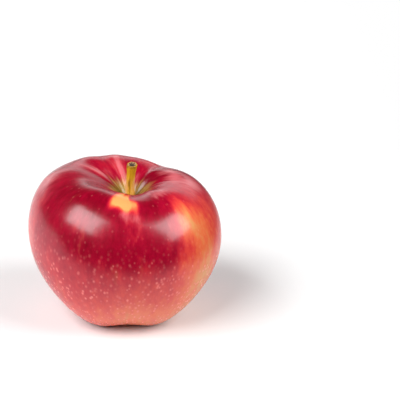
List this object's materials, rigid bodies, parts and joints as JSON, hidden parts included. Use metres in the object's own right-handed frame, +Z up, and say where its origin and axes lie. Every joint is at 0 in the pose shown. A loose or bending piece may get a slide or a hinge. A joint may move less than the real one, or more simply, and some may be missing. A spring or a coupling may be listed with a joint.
{
  "type": "apple",
  "caption": "Fresh red and yellow eating apple with a woody stem in a deep stem cavity and dried sepals in the eye underneath.",
  "frame": {"origin": "on the table, under the middle of the whole apple's outline seen from above", "axes": "+Z up along the core to the stem, -Y the side with the best colour, +X to the right of it"},
  "size_m": [0.078, 0.075, 0.0644],
  "materials": {
    "skin": "waxy gloss, crimson blush streaked over orange yellow, with pale dots",
    "stem": "woody, ridged lengthwise, olive yellow with a brown cut end",
    "dried_sepal": "dry, papery and matt, grey brown",
    "dried_stamen": "dry and matt, dark brown"
  },
  "bodies": {
    "root": {"fruit": "skin", "stem": "stem", "sepal_1": "dried_sepal", "sepal_2": "dried_sepal", "sepal_3": "dried_sepal", "sepal_4": "dried_sepal", "sepal_5": "dried_sepal", "stamen_tuft": "dried_stamen"}
  },
  "joints": []
}
